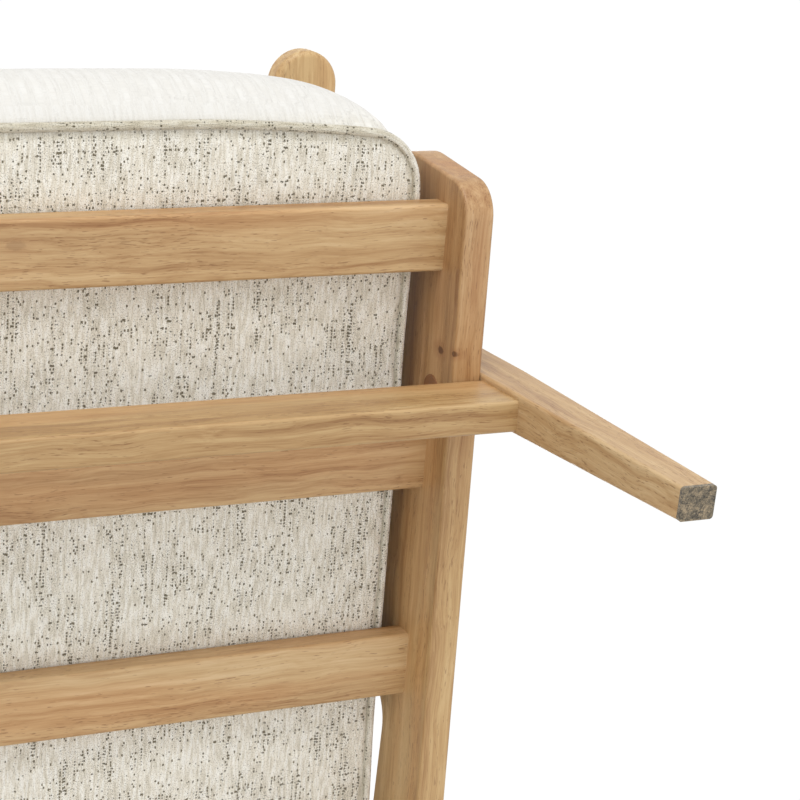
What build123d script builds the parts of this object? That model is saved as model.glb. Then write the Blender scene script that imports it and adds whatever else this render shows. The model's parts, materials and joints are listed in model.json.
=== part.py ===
"""A wooden armchair whose back reclines on two ratchet hinges, in millimetres.

The chair faces -Y and stands on the floor at Z = 0, with the origin under the middle of it.
Three leaning frames carry the drawing: the seat frame starts at the lower front corner of the
side rails, the deck frame lies under the seat slats, and the back frame turns about the hinge.
In each, x runs to the sitter's left, y to the rear and z up.
"""

from math import cos, radians, sin, tan
import os

from build123d import *

# Lean of the frames, in degrees
seat_tilt = 4
deck_rise = 1.3
back_tilt = 20
rear_leg_rake = 12

# Seat rails
inner_width = 580
rail_thickness = 23
rail_depth = 126
rail_length = 692
rail_nose = 6
rail_end_rake = 6.3
rail_corner = 26
rail_top_corner = 42
scoop_depth = 60
scoop_drop_run = 54
scoop_floor_run = 112
scoop_climb = 8.5
scoop_rise_run = 40
scoop_bend = 34
ear_length = 112
ear_height = 100
ear_bend = 30
nose_bend = 52
edge_round = 2.5

# Seat slats
slat_count = 4
slat_width = 49
slat_thickness = 19
slat_round = 2.5
slat_front = 25
slat_hinge_gap = 37
slat_setback = 26.4
tenon_length = 10
tenon_shoulder = 4
tenon_gap = 1

# Legs
leg_drop = 263
leg_slat_gap = 46
leg_root_width = 37
leg_root_depth = 31.2
leg_foot_width = 26
leg_foot_depth = 23.3
leg_top_width = 28
leg_top_depth = 24
front_bolt_setback = 18.5
rear_leg_setback = 37
rear_leg_height = 40
leg_spare = 30
pad_thickness = 3

# Stretchers
stretcher_thickness = 23
stretcher_depth = 55
stretcher_setback = 4.3
rear_stretcher_setback = 4

# Arms
arm_height = 331
arm_thickness = 20
arm_tip_radius = 28
arm_tip_offset = 30
arm_tip_reach = 33
arm_rear_radius = 20
arm_rear_offset = 35
arm_rear_spare = 26
arm_round = 5

# Leg bolts, their inserts and caps
bolt_diameter = 8
bolt_head_diameter = 16
bolt_head_height = 4
bolt_socket = 5
bolt_reach = 14
bolt_rail_clearance = 0.5
insert_diameter = 12
insert_length = 18
cap_diameter = 21.5
cap_thickness = 4
cap_proud = 0.8
cap_round = 0.6
counterbore_depth = 10
bolt_edge = 31
rear_bolt_edge = 21

# Dowels
dowel_diameter = 10
dowel_in_leg = 16
dowel_in_stretcher = 25
dowel_edge = 15
arm_dowel_in_leg = 24
arm_dowel_in_arm = 13
dowel_end_gap = 1

# Ratchet hinges
pivot_setback = 86
pivot_height = 58
hinge_flange_diameter = 64
hinge_flange_thickness = 3
hinge_drum_diameter = 44
hinge_drum_height = 6
hinge_gap = 0.3
hinge_pin_diameter = 10
hinge_pin_clearance = 0.1
hinge_head_diameter = 18
hinge_head_height = 3
hinge_strap_width = 26
hinge_strap_thickness = 3
hinge_strap_length = 125
hinge_strap_corner = 8
hinge_screw_ring = 54
hinge_screws = 4
strap_screws = 3
strap_screw_margin = 12
strap_screw_pitch = 36
screw_diameter = 4
screw_head_diameter = 8
screw_head_height = 2.2
screw_length = 16
screw_cross = 1
screw_cross_length = 5

# Back frame
stile_thickness = 23
stile_depth = 44
stile_top_depth = 30
crest_overlap = 14
back_slat_count = 4
back_slat_first = 96
crest_height = 66
crest_thickness = 23
crest_arch = 12
crest_margin = 8
crest_round = 5

# Cushions and their hook and loop tapes
tape_thickness = 0.8
tape_width = 25
tape_length = 420
cushion_gap = 14.5
cushion_corner = 38
draw_in = 5
side_bulge = 6
side_bow = 3
seat_cushion_front = 32
seat_cushion_hinge_gap = 28
seat_cushion_thickness = 108
seat_front_bulge = 16
seat_crown = 20
back_cushion_foot = 124
back_cushion_height = 430
back_cushion_thickness = 104
back_cushion_corner = 46
back_crown = 18
back_foot_drop = 18
back_side_gap = 12
crown_shoulder_share = 0.7
crown_inset_shares = (0.13, 0.36)

# Places that follow the rails' rear end and the back cushion's top
pivot_place = rail_length - pivot_setback
rear_leg_place = rail_length - rear_leg_setback
ear_front = rail_length - ear_length
scoop_rear = ear_front - scoop_rise_run
scoop_low = scoop_rear - scoop_floor_run
scoop_front = scoop_low - scoop_drop_run
slat_pitch = (pivot_place - slat_hinge_gap - slat_width - slat_front) / (slat_count - 1)
leg_front = slat_front + slat_pitch - leg_slat_gap
stile_length = back_cushion_foot + back_cushion_height - crest_overlap

# Height of the rails' lower front corner over the floor
rail_corner_height = leg_drop * cos(radians(seat_tilt)) + (
    leg_front + leg_foot_depth / 2
) * sin(radians(seat_tilt))


def rearward(y, z, lean):
    """How far to the rear a point of a leaning frame lies from the frame's origin."""
    return y * cos(radians(lean)) + z * sin(radians(lean))


stile_top_radius = stile_top_depth / 2
stile_top_centre_y = stile_top_radius - stile_depth / 2
front_reach = rearward(
    -seat_cushion_front - seat_front_bulge - side_bow,
    slat_setback + slat_thickness + seat_cushion_thickness / 2,
    seat_tilt - deck_rise,
)
rear_reach = (
    rearward(pivot_place, pivot_height, seat_tilt)
    + rearward(stile_top_centre_y, stile_length - stile_top_radius, back_tilt)
    + stile_top_radius
)


def leaning(origin, lean):
    """A frame whose z axis leans to the rear by so many degrees."""
    return Plane(
        origin=origin,
        x_dir=(1, 0, 0),
        z_dir=(0, sin(radians(lean)), cos(radians(lean))),
    )


seat = leaning((0, -(front_reach + rear_reach) / 2, rail_corner_height), seat_tilt)
deck = leaning(seat.from_local_coords((0, 0, slat_setback)), seat_tilt - deck_rise)
back = leaning(seat.from_local_coords((0, pivot_place, pivot_height)), back_tilt)
front_leg_frame = leaning(seat.from_local_coords((0, leg_front, 0)), seat_tilt)
rear_leg_frame = leaning(
    seat.from_local_coords((0, rear_leg_place, rear_leg_height)),
    seat_tilt - rear_leg_rake,
)


def side(frame, x):
    """The plane across a frame at x: its axes are the frame's y and z, and it faces left."""
    return Plane(
        origin=frame.from_local_coords((x, 0, 0)), x_dir=frame.y_dir, z_dir=(1, 0, 0)
    )


def front(frame, y):
    """The plane across a frame at y: its axes are x and the frame's z, and it faces forward."""
    return Plane(
        origin=frame.from_local_coords((0, y, 0)), x_dir=(1, 0, 0), z_dir=-frame.y_dir
    )


# Faces that several pieces share
rail_inner = inner_width / 2
rail_outer = rail_inner + rail_thickness
deck_top = slat_thickness
hinge_stack = hinge_flange_thickness + hinge_drum_height + hinge_gap + hinge_strap_thickness
strap_inner = rail_inner - hinge_stack
stile_outer = strap_inner
stile_inner = stile_outer - stile_thickness
stile_front = -stile_depth / 2
slat_places = [
    (slat_front + i * slat_pitch + slat_width / 2, slat_thickness / 2)
    for i in range(slat_count)
]
slat_tenon = (slat_width - 2 * tenon_shoulder, slat_thickness - 2 * tenon_shoulder)
crest_top = stile_length - crest_margin
crest_middle = crest_top - crest_height / 2
back_slat_pitch = (crest_middle - back_slat_first) / back_slat_count
back_slat_places = [
    (stile_front + slat_thickness / 2, back_slat_first + i * back_slat_pitch)
    for i in range(back_slat_count)
]
crest_tenon = (crest_thickness - 2 * tenon_shoulder, crest_height - 4 * tenon_shoulder)
bolt_places = [
    (leg_front + front_bolt_setback, bolt_edge),
    (leg_front + front_bolt_setback, rail_depth - bolt_edge),
]
rear_bolt_places = [
    (rear_leg_place + (rear_leg_height - z) * tan(radians(rear_leg_rake)), z)
    for z in (rear_bolt_edge, rear_bolt_edge + 2 * (rear_leg_height - rear_bolt_edge))
]
arm_front_leg_y = leg_front + leg_top_depth / 2
rear_dowel_height = arm_height - arm_dowel_in_leg / 2 - rear_leg_height
arm_rear_leg_y = (
    rear_leg_place
    - rear_dowel_height * tan(radians(rear_leg_rake))
    + (leg_root_depth - leg_top_depth) / 2
)
flange_screw_turns = [360 * (i + 0.5) / hinge_screws for i in range(hinge_screws)]
flange_screw_places = [
    (
        pivot_place + hinge_screw_ring / 2 * cos(radians(turn)),
        pivot_height + hinge_screw_ring / 2 * sin(radians(turn)),
    )
    for turn in flange_screw_turns
]
strap_screw_places = [
    (0, hinge_strap_length - strap_screw_margin - i * strap_screw_pitch)
    for i in range(strap_screws)
]
front_stretcher_y = leg_front + stretcher_setback
rear_stretcher_y = (
    rear_leg_place
    + rear_leg_height * tan(radians(rear_leg_rake))
    - leg_root_depth / 2
    + rear_stretcher_setback
)


def hand_in(block, name):
    """Labels a finished piece and writes it."""
    block.part.label = name
    export_step(block.part, f"parts/{name}.step")


def hand_in_pair(block, name):
    """Writes a left piece and its mirror image on the right."""
    hand_in(block, f"left_{name}")
    with BuildPart() as right:
        mirror(block.part, about=Plane.YZ)
    hand_in(right, f"right_{name}")


def turned(frame, x, places, steps):
    """Adds or cuts round steps at places seen from the side: (diameter, from, to, mode)."""
    for diameter, start, end, mode in steps:
        with BuildSketch(side(frame, x + start)) as rounds:
            with Locations(*places):
                Circle(diameter / 2)
        extrude(rounds.sketch, amount=end - start, mode=mode)


def long_edges(part, direction, least):
    """The edges that run within a few degrees of a direction and are longer than least."""
    aim = Vector(direction)
    return ShapeList(
        e
        for e in part.edges()
        if e.length > least and abs(e.tangent_at(0.5).dot(aim)) > 0.9
    )


os.makedirs("parts", exist_ok=True)

# Seat rail: a deep board with a raked front end, a scooped top and a rounded ear at the hinge
rake_run = rail_depth * tan(radians(rail_end_rake))
scoop_floor = rail_depth - scoop_depth
rail_outline = [
    ((rake_run - rail_nose, 0), rail_corner),
    ((-rail_nose, rail_depth), rail_top_corner),
    ((scoop_front, rail_depth), scoop_bend),
    ((scoop_low, scoop_floor), scoop_bend),
    ((scoop_rear, scoop_floor + scoop_climb), scoop_bend),
    ((ear_front, ear_height), ear_bend),
    ((rail_length, ear_height), nose_bend),
    ((rail_length, 0), rail_corner),
]
with BuildPart() as seat_rail:
    with BuildSketch(side(seat, rail_inner)):
        with BuildLine():
            FilletPolyline(
                *[point for point, bend in rail_outline],
                radius=[bend for point, bend in rail_outline],
                close=True,
            )
        make_face()
    extrude(amount=rail_thickness)
    rims = seat_rail.faces().filter_by(Axis.X).edges()
    fillet(rims, edge_round)
    with BuildSketch(side(deck, rail_inner)):
        with Locations(*slat_places):
            Rectangle(*slat_tenon)
    extrude(amount=tenon_length + tenon_gap, mode=Mode.SUBTRACT)
    turned(
        seat,
        rail_inner,
        bolt_places + rear_bolt_places,
        [
            (cap_diameter, 0, counterbore_depth, Mode.SUBTRACT),
            (bolt_diameter + bolt_rail_clearance, 0, rail_thickness, Mode.SUBTRACT),
        ],
    )
    turned(
        seat,
        rail_inner,
        flange_screw_places,
        [(screw_diameter, 0, screw_length - hinge_flange_thickness, Mode.SUBTRACT)],
    )
hand_in_pair(seat_rail, "seat_rail")

# Seat slats: flat bars with stub tenons in the rails
for number, place in enumerate(slat_places, 1):
    with BuildPart() as seat_slat:
        with BuildSketch(side(deck, -rail_inner)):
            with Locations(place):
                RectangleRounded(slat_width, slat_thickness, slat_round)
        extrude(amount=inner_width)
        with BuildSketch(side(deck, -rail_inner - tenon_length)):
            with Locations(place):
                Rectangle(*slat_tenon)
        extrude(amount=inner_width + 2 * tenon_length)
    hand_in(seat_slat, f"seat_slat_{number}")


def leg(frame, stations, rear_face):
    """A leg lofted through rounded sections, cut level at the foot and along the arm.

    Each station is (z, width, depth). The inner face is flat against the rail, and the
    front or the rear face is straight, so that the taper shows on the other two.
    """
    sections = []
    for z, width, depth in stations:
        y = rear_face - depth / 2 if rear_face else depth / 2
        with BuildSketch(frame.offset(z)) as section:
            with Locations((rail_outer + width / 2, y)):
                RectangleRounded(width, depth, edge_round)
        sections.append(section.sketch.face())
    loft(sections, ruled=True)
    split(bisect_by=Plane.XY.offset(pad_thickness), keep=Keep.TOP)
    split(bisect_by=seat.offset(arm_height), keep=Keep.BOTTOM)


def taper(root, foot, drop):
    """The size at the raw lower end, which is a spare length past the foot."""
    return root - (root - foot) * (drop + leg_spare) / drop


def leg_stations(root_z, rail_top_z, top_z, drop):
    """The sections of a leg: raw foot, rail's lower edge, rail's top and raw top."""
    return [
        (
            root_z - drop - leg_spare,
            taper(leg_root_width, leg_foot_width, drop),
            taper(leg_root_depth, leg_foot_depth, drop),
        ),
        (root_z, leg_root_width, leg_root_depth),
        (rail_top_z, leg_root_width, leg_root_depth),
        (top_z + leg_spare, leg_top_width, leg_top_depth),
    ]


def leg_holes(bolts, stretcher_y, arm_y):
    """Cuts the insert, bolt and dowel holes of a leg."""
    turned(
        seat,
        rail_outer,
        bolts,
        [
            (insert_diameter, 0, insert_length, Mode.SUBTRACT),
            (bolt_diameter, 0, insert_length + dowel_end_gap, Mode.SUBTRACT),
        ],
    )
    turned(
        seat,
        rail_outer,
        stretcher_dowels(stretcher_y),
        [(dowel_diameter, 0, dowel_in_leg + dowel_end_gap, Mode.SUBTRACT)],
    )
    with BuildSketch(seat.offset(arm_height)) as hole:
        with Locations((rail_outer + leg_top_width / 2, arm_y)):
            Circle(dowel_diameter / 2)
    extrude(hole.sketch, amount=-arm_dowel_in_leg - dowel_end_gap, mode=Mode.SUBTRACT)


def stretcher_dowels(stretcher_y):
    """The two dowel places in a stretcher's end, following the lean of its leg."""
    lean = tan(radians(rear_leg_rake)) if stretcher_y == rear_stretcher_y else 0
    return [
        (stretcher_y + stretcher_thickness / 2 - z * lean, z)
        for z in (-dowel_edge, dowel_edge - stretcher_depth)
    ]


# Front leg: upright to the seat, tapered on its outer and rear faces
with BuildPart() as front_leg:
    leg(front_leg_frame, leg_stations(0, rail_depth, arm_height, leg_drop), 0)
    leg_holes(bolt_places, front_stretcher_y, arm_front_leg_y)
hand_in_pair(front_leg, "front_leg")

# Rear leg: raked to the rear, with its rear face straight
rear_scale = 1 / cos(radians(rear_leg_rake))
rear_drop = (leg_drop - rail_length * sin(radians(seat_tilt))) * rear_scale
with BuildPart() as rear_leg:
    leg(
        rear_leg_frame,
        leg_stations(
            -rear_leg_height * rear_scale,
            (ear_height - rear_leg_height) * rear_scale,
            (arm_height - rear_leg_height) * rear_scale,
            rear_drop,
        ),
        leg_root_depth / 2,
    )
    leg_holes(rear_bolt_places, rear_stretcher_y, arm_rear_leg_y)
hand_in_pair(rear_leg, "rear_leg")

# Felt pads under the feet, each the size of its foot
with BuildPart() as felt_pads:
    for foot in (front_leg, rear_leg):
        sole = foot.part.faces().sort_by(Axis.Z)[0]
        extrude(sole, amount=pad_thickness, dir=(0, 0, -1))
    mirror(about=Plane.YZ)
hand_in(felt_pads, "felt_pads")


# Stretchers: boards under the rails whose ends butt against the legs
def stretcher(stretcher_y, lean):
    """Builds a stretcher whose faces follow the lean of the legs."""
    shift = stretcher_depth * tan(radians(lean))
    with BuildPart() as board:
        with BuildSketch(side(seat, -rail_outer)):
            with BuildLine():
                Polyline(
                    (stretcher_y, 0),
                    (stretcher_y + stretcher_thickness, 0),
                    (stretcher_y + stretcher_thickness + shift, -stretcher_depth),
                    (stretcher_y + shift, -stretcher_depth),
                    close=True,
                )
            make_face()
        extrude(amount=2 * rail_outer)
        fillet(board.edges().filter_by(Axis.X), edge_round)
        for x, inward in ((rail_outer, -1), (-rail_outer, 1)):
            turned(
                seat,
                x,
                stretcher_dowels(stretcher_y),
                [
                    (
                        dowel_diameter,
                        0,
                        inward * (dowel_in_stretcher + dowel_end_gap),
                        Mode.SUBTRACT,
                    )
                ],
            )
    return board


hand_in(stretcher(front_stretcher_y, 0), "front_stretcher")
hand_in(stretcher(rear_stretcher_y, rear_leg_rake), "rear_stretcher")

# Stretcher dowels
with BuildPart() as stretcher_pins:
    turned(
        seat,
        rail_outer,
        stretcher_dowels(front_stretcher_y) + stretcher_dowels(rear_stretcher_y),
        [(dowel_diameter, -dowel_in_stretcher, dowel_in_leg, Mode.ADD)],
    )
    mirror(about=Plane.YZ)
hand_in(stretcher_pins, "stretcher_dowels")

# Arm: a paddle with a round tip, flat on the tops of the two legs
arm_dowel_places = [
    (rail_outer + leg_top_width / 2, arm_front_leg_y),
    (rail_outer + leg_top_width / 2, arm_rear_leg_y),
]
with BuildPart() as armrest:
    with BuildSketch(seat.offset(arm_height)):
        with Locations((rail_inner + arm_tip_offset, arm_tip_radius - arm_tip_reach)):
            Circle(arm_tip_radius)
        with Locations((rail_inner + arm_rear_offset, arm_rear_leg_y + arm_rear_spare)):
            Circle(arm_rear_radius)
        make_hull()
    extrude(amount=arm_thickness)
    fillet(armrest.faces().filter_by(seat).edges(), arm_round)
    with BuildSketch(seat.offset(arm_height)):
        with Locations(*arm_dowel_places):
            Circle(dowel_diameter / 2)
    extrude(amount=arm_dowel_in_arm + dowel_end_gap, mode=Mode.SUBTRACT)
hand_in_pair(armrest, "armrest")

# Arm dowels
with BuildPart() as arm_pins:
    with BuildSketch(seat.offset(arm_height - arm_dowel_in_leg)):
        with Locations(*arm_dowel_places):
            Circle(dowel_diameter / 2)
    extrude(amount=arm_dowel_in_leg + arm_dowel_in_arm)
    mirror(about=Plane.YZ)
hand_in(arm_pins, "arm_dowels")

# Leg bolts: heads in the rails' counterbores, shanks in inserts in the legs
all_bolt_places = bolt_places + rear_bolt_places
with BuildPart() as leg_bolts:
    turned(
        seat,
        rail_inner,
        all_bolt_places,
        [
            (bolt_head_diameter, counterbore_depth - bolt_head_height, counterbore_depth, Mode.ADD),
            (bolt_diameter, counterbore_depth, rail_thickness + bolt_reach, Mode.ADD),
        ],
    )
    with BuildSketch(side(seat, rail_inner + counterbore_depth - bolt_head_height)):
        with Locations(*all_bolt_places):
            RegularPolygon(bolt_socket / 2, 6, major_radius=False)
    extrude(amount=bolt_head_height / 2, mode=Mode.SUBTRACT)
    mirror(about=Plane.YZ)
hand_in(leg_bolts, "leg_bolts")

with BuildPart() as leg_inserts:
    turned(
        seat,
        rail_outer,
        all_bolt_places,
        [
            (insert_diameter, 0, insert_length, Mode.ADD),
            (bolt_diameter, 0, insert_length, Mode.SUBTRACT),
        ],
    )
    mirror(about=Plane.YZ)
hand_in(leg_inserts, "leg_inserts")

with BuildPart() as bolt_caps:
    turned(
        seat,
        rail_inner,
        all_bolt_places,
        [(cap_diameter, -cap_proud, cap_thickness - cap_proud, Mode.ADD)],
    )
    showing = bolt_caps.faces().filter_by(Axis.X).group_by(Axis.X)[0]
    fillet(showing.edges(), cap_round)
    mirror(about=Plane.YZ)
hand_in(bolt_caps, "bolt_caps")


# Ratchet hinges: a flange and drum on the rail, a pin, and a strap on the back's stile
def screw_set(frame, x, places, head_side):
    """Countersunk screws along x: head_side is -1 where the heads face inwards, else 1."""
    for place in places:
        with BuildSketch(side(frame, x)) as wide:
            with Locations(place):
                Circle(screw_head_diameter / 2)
        with BuildSketch(side(frame, x - head_side * screw_head_height)) as narrow:
            with Locations(place):
                Circle(screw_diameter / 2)
        loft([wide.sketch.face(), narrow.sketch.face()])
        extrude(narrow.sketch.face(), amount=(screw_head_height - screw_length) * head_side)


def countersinks(frame, x, places, head_side):
    """Cuts the seats of countersunk screws in a plate."""
    with BuildPart(mode=Mode.PRIVATE) as screws:
        screw_set(frame, x, places, head_side)
    add(screws.part, mode=Mode.SUBTRACT)


def screw_crosses(frame, x, places, head_side):
    """Cuts the driver slots of a set of screws."""
    with BuildSketch(side(frame, x)) as cross:
        with Locations(*places):
            Rectangle(screw_cross_length, screw_cross)
            Rectangle(screw_cross, screw_cross_length)
    extrude(cross.sketch, amount=-head_side * screw_head_height / 2, mode=Mode.SUBTRACT)


flange_inner = rail_inner - hinge_flange_thickness
drum_inner = flange_inner - hinge_drum_height
strap_outer = strap_inner + hinge_strap_thickness
with BuildPart() as hinge_base:
    turned(
        seat,
        rail_inner,
        [(pivot_place, pivot_height)],
        [
            (hinge_flange_diameter, -hinge_flange_thickness, 0, Mode.ADD),
            (hinge_drum_diameter, drum_inner - rail_inner, 0, Mode.ADD),
            (hinge_pin_diameter, drum_inner - rail_inner, 0, Mode.SUBTRACT),
        ],
    )
    countersinks(seat, flange_inner, flange_screw_places, -1)
hand_in_pair(hinge_base, "hinge_base")

with BuildPart() as hinge_strap:
    with BuildSketch(side(back, strap_inner)):
        Circle(hinge_drum_diameter / 2)
        with Locations((0, hinge_strap_length / 2)):
            Rectangle(hinge_strap_width, hinge_strap_length)
        fillet(vertices().group_by(Axis.Y)[-1], hinge_strap_corner)
        Circle(hinge_pin_diameter / 2 + hinge_pin_clearance, mode=Mode.SUBTRACT)
    extrude(amount=hinge_strap_thickness)
    countersinks(back, strap_outer, strap_screw_places, 1)
hand_in_pair(hinge_strap, "hinge_strap")

with BuildPart() as hinge_pins:
    turned(
        seat,
        rail_inner,
        [(pivot_place, pivot_height)],
        [
            (hinge_pin_diameter, strap_inner - hinge_gap - rail_inner, 0, Mode.ADD),
            (
                hinge_head_diameter,
                strap_inner - hinge_gap - hinge_head_height - rail_inner,
                strap_inner - hinge_gap - rail_inner,
                Mode.ADD,
            ),
        ],
    )
    mirror(about=Plane.YZ)
hand_in(hinge_pins, "hinge_pins")

with BuildPart() as hinge_base_screws:
    screw_set(seat, flange_inner, flange_screw_places, -1)
    screw_crosses(seat, flange_inner, flange_screw_places, -1)
    mirror(about=Plane.YZ)
hand_in(hinge_base_screws, "hinge_base_screws")

with BuildPart() as hinge_strap_screws:
    screw_set(back, strap_outer, strap_screw_places, 1)
    screw_crosses(back, strap_outer, strap_screw_places, 1)
    mirror(about=Plane.YZ)
hand_in(hinge_strap_screws, "hinge_strap_screws")

# Back stile: deep and round at the hinge, tapering up its rear face to a round top
with BuildPart() as back_stile:
    with BuildSketch(side(back, stile_inner)):
        Circle(stile_depth / 2)
        with Locations((stile_top_centre_y, stile_length - stile_top_radius)):
            Circle(stile_top_radius)
        make_hull()
    extrude(amount=stile_thickness)
    rims = back_stile.faces().filter_by(Axis.X).edges()
    fillet(rims, edge_round)
    with BuildSketch(side(back, stile_inner)):
        with Locations(*back_slat_places):
            Rectangle(slat_tenon[1], slat_tenon[0])
        with Locations((stile_front + crest_thickness / 2, crest_middle)):
            Rectangle(*crest_tenon)
    extrude(amount=tenon_length + tenon_gap, mode=Mode.SUBTRACT)
    turned(
        back,
        stile_outer,
        [(0, 0)],
        [
            (
                hinge_head_diameter + 2 * hinge_gap,
                -hinge_head_height - 2 * hinge_gap,
                0,
                Mode.SUBTRACT,
            )
        ],
    )
    turned(
        back,
        stile_outer,
        strap_screw_places,
        [(screw_diameter, hinge_strap_thickness - screw_length, 0, Mode.SUBTRACT)],
    )
hand_in_pair(back_stile, "back_stile")

# Back slats: the seat slats' bars again, upright, flush with the stiles' front faces
for number, place in enumerate(back_slat_places, 1):
    with BuildPart() as back_slat:
        with BuildSketch(side(back, -stile_inner)):
            with Locations(place):
                RectangleRounded(slat_thickness, slat_width, slat_round)
        extrude(amount=2 * stile_inner)
        with BuildSketch(side(back, -stile_inner - tenon_length)):
            with Locations(place):
                Rectangle(slat_tenon[1], slat_tenon[0])
        extrude(amount=2 * (stile_inner + tenon_length))
    hand_in(back_slat, f"back_slat_{number}")

# Crest rail: a wider board with an arched top between the stiles' upper ends
with BuildPart() as crest_rail:
    with BuildSketch(front(back, stile_front)):
        with BuildLine():
            ThreePointArc(
                (-stile_inner, crest_top), (0, crest_top + crest_arch), (stile_inner, crest_top)
            )
            Polyline(
                (stile_inner, crest_top),
                (stile_inner, crest_top - crest_height),
                (-stile_inner, crest_top - crest_height),
                (-stile_inner, crest_top),
            )
        make_face()
    extrude(amount=-crest_thickness)
    fillet(long_edges(crest_rail.part, (1, 0, 0), crest_height), crest_round)
    with BuildSketch(side(back, -stile_inner - tenon_length)):
        with Locations((stile_front + crest_thickness / 2, crest_middle)):
            Rectangle(*crest_tenon)
    extrude(amount=2 * (stile_inner + tenon_length))
hand_in(crest_rail, "crest_rail")

# Hook and loop tapes that hold the cushions on the first and last slats
with BuildPart() as seat_tapes:
    with BuildSketch(deck.offset(deck_top)):
        with Locations(
            (0, slat_places[0][0]),
            (0, slat_places[-1][0]),
        ):
            Rectangle(tape_length, tape_width)
    extrude(amount=tape_thickness)
hand_in(seat_tapes, "seat_cushion_tapes")

with BuildPart() as back_tapes:
    with BuildSketch(front(back, stile_front)):
        with Locations(
            (0, back_slat_places[1][1]),
            (0, back_slat_places[-1][1]),
        ):
            Rectangle(tape_length, tape_width)
    extrude(amount=tape_thickness)
hand_in(back_tapes, "back_cushion_tapes")


# Cushions: boxed forms whose sides bulge at mid height and draw in between the corners
def cushion_section(plane, half_width, low, high, corner, pull):
    """A rounded rectangle from low to high whose sides are drawn in by pull."""
    half_run = half_width - corner
    centres = [
        Vector(-half_run, low + corner),
        Vector(half_run, low + corner),
        Vector(half_run, high - corner),
        Vector(-half_run, high - corner),
    ]
    outwards = [Vector(0, -1), Vector(1, 0), Vector(0, 1), Vector(-1, 0)]
    with BuildSketch(plane) as section:
        with BuildLine():
            for k in range(4):
                start, end = centres[k], centres[(k + 1) % 4]
                out, turn = outwards[k], outwards[(k + 1) % 4]
                leave, arrive = end + out * corner, end + turn * corner
                ThreePointArc(
                    start + out * corner, (start + end) / 2 + out * (corner - pull), leave
                )
                ThreePointArc(leave, end + (out + turn).normalized() * corner, arrive)
        make_face()
    return section.sketch.face()


def crown(plane_at, half_width, low, high, corner, start, height):
    """Lofts the domed panel over a cushion's welt."""
    sections = [cushion_section(plane_at(start), half_width, low, high, corner, draw_in)]
    for inset_share, rise_share in zip(crown_inset_shares, (crown_shoulder_share, 1)):
        inset = inset_share * min(half_width, (high - low) / 2)
        sections.append(
            cushion_section(
                plane_at(start + height * rise_share),
                half_width - inset,
                low + inset,
                high - inset,
                corner + inset,
                0.5 * draw_in,
            )
        )
    loft(sections)


seat_half = rail_inner - cushion_gap
seat_rear = pivot_place - seat_cushion_hinge_gap
seat_bottom = deck_top + tape_thickness
with BuildPart() as seat_cushion:
    loft(
        [
            cushion_section(
                deck.offset(seat_bottom + share * seat_cushion_thickness),
                seat_half + bulge * side_bulge,
                -seat_cushion_front - bulge * seat_front_bulge,
                seat_rear + bulge * side_bulge,
                cushion_corner,
                draw_in - bulge * (draw_in + side_bow),
            )
            for share, bulge in ((0, 0), (0.5, 1), (1, 0))
        ]
    )
    crown(
        deck.offset,
        seat_half,
        -seat_cushion_front,
        seat_rear,
        cushion_corner,
        seat_bottom + seat_cushion_thickness,
        seat_crown,
    )
hand_in(seat_cushion, "seat_cushion")

back_half = stile_outer - back_side_gap
back_rear = stile_front - tape_thickness


def back_section_plane(depth):
    """The plane across the back cushion so far in front of its rear panel."""
    return front(back, back_rear - depth)


with BuildPart() as back_cushion:
    loft(
        [
            cushion_section(
                back_section_plane(share * back_cushion_thickness),
                back_half + bulge * side_bulge,
                back_cushion_foot - share * back_foot_drop - bulge * side_bulge,
                back_cushion_foot + back_cushion_height + bulge * side_bulge,
                back_cushion_corner,
                draw_in - bulge * (draw_in + side_bow),
            )
            for share, bulge in ((0, 0), (0.5, 1), (1, 0))
        ]
    )
    crown(
        back_section_plane,
        back_half,
        back_cushion_foot - back_foot_drop,
        back_cushion_foot + back_cushion_height,
        back_cushion_corner,
        back_cushion_thickness,
        back_crown,
    )
hand_in(back_cushion, "back_cushion")
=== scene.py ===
# %% [markdown]
# # A low reclining armchair in pale wood and flecked tweed
# The frame of the chair comes from the workshop model, measured there.
# This notebook dresses it: camera, light, wood, metal, felt, and two sewn cushions.
# Nothing of the frame is moved here. A piece goes where the workshop model says.

# %% Load the measured frame
import bpy
import json
import math
import numpy as np
from mathutils import Matrix, Vector
from mathutils.bvhtree import BVHTree
from mathutils.kdtree import KDTree


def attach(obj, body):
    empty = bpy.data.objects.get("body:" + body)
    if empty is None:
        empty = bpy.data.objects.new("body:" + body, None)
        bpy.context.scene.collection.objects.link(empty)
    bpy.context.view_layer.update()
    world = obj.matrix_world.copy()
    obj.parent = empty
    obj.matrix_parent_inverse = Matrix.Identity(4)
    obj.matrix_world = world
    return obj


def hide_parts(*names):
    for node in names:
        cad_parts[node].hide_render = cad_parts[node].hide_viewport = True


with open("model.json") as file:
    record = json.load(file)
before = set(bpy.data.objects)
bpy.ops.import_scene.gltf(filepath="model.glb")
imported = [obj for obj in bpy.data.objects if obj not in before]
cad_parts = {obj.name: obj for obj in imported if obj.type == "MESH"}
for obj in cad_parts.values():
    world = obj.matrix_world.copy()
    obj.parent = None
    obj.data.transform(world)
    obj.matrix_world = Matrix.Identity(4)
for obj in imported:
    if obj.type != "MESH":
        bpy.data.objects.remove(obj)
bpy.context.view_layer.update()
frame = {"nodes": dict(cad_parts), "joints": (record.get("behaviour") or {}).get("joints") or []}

nodes = frame["nodes"]
print("pieces of the frame:", len(nodes))

# %% [markdown]
# ## The camera
# The picture was taken from under the tipped chair, past its left front leg.
# A long lens was fitted to the edges of the rails, slats and stretcher.
# Its three directions are unit vectors: right, down and forward in the picture.

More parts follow.
